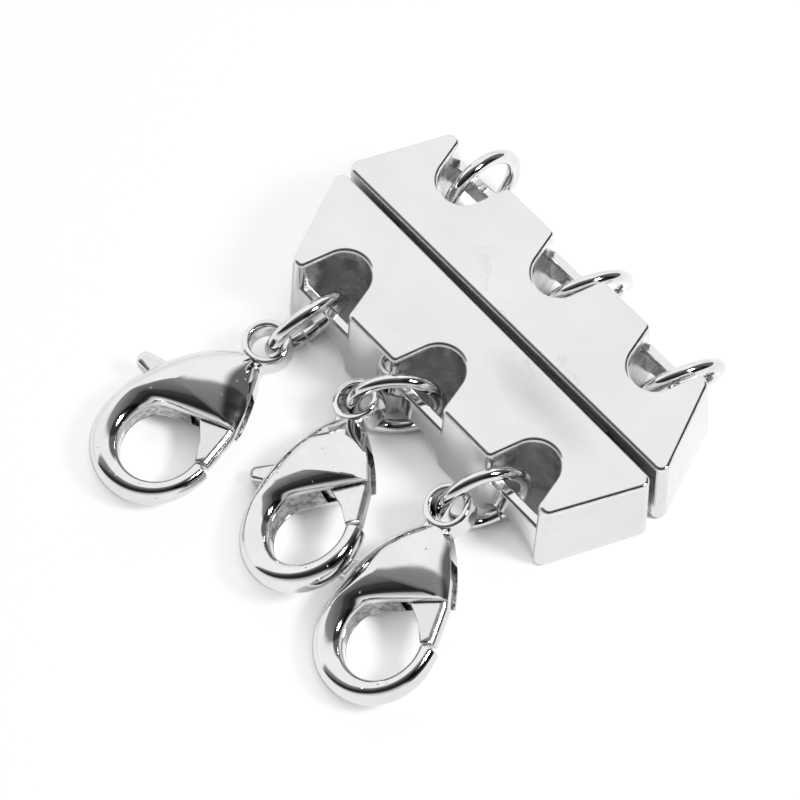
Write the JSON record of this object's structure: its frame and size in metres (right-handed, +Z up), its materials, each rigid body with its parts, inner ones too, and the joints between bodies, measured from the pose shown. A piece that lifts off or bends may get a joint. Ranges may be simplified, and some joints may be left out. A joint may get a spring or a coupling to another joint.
{
  "type": "magnetic layering clasp",
  "caption": "Silver-tone magnetic necklace clasp: two matching trapezoid bars that meet at magnets, with lobster claws on the front jump rings.",
  "frame": {"origin": "middle of the part's footprint, on the surface that it lies on", "axes": "+X along the seam between the two bars, +Y from the claws towards the bar that pulls off, +Z up"},
  "size_m": [0.025, 0.0286, 0.006],
  "materials": {
    "bar_metal": "polished silver plate on cast zinc alloy",
    "ring_metal": "polished silver-plated wire",
    "claw_metal": "polished silver plate on a cast claw",
    "lever_metal": "polished silver-plated lever",
    "magnet_metal": "nickel-plated magnet, finely lined"
  },
  "bodies": {
    "front_half": {"front_bar": "bar_metal", "front_magnet": "magnet_metal", "front_ring_1": "ring_metal", "front_ring_2": "ring_metal", "front_ring_3": "ring_metal", "claw_1": "claw_metal", "claw_2": "claw_metal", "claw_3": "claw_metal"},
    "back_half": {"back_bar": "bar_metal", "back_magnet": "magnet_metal", "back_ring_1": "ring_metal", "back_ring_2": "ring_metal", "back_ring_3": "ring_metal"},
    "gate_1": {"lever_1": "lever_metal"},
    "gate_2": {"lever_2": "lever_metal"},
    "gate_3": {"lever_3": "lever_metal"}
  },
  "joints": [
    {"name": "pull_off", "type": "slide", "parent": "front_half", "child": "back_half", "axis": [0, 1, 0], "range_m": [0, 0.012]},
    {"name": "gate_1_hinge", "type": "hinge", "parent": "front_half", "child": "gate_1", "pos_m": [-0.00708, -0.00616, 0.00182], "axis": [-0.032, -0.0694, 0.9971], "range_deg": [-18, 0], "stiffness_Nm_per_rad": 0.0005},
    {"name": "gate_2_hinge", "type": "hinge", "parent": "front_half", "child": "gate_2", "pos_m": [0.0001, -0.00401, 0.00251], "axis": [-0.3229, -0.1554, 0.9336], "range_deg": [-18, 0], "stiffness_Nm_per_rad": 0.0005},
    {"name": "gate_3_hinge", "type": "hinge", "parent": "front_half", "child": "gate_3", "pos_m": [0.0079, -0.00512, 0.00276], "axis": [-0.1739, -0.2347, 0.9564], "range_deg": [-18, 0], "stiffness_Nm_per_rad": 0.0005}
  ]
}
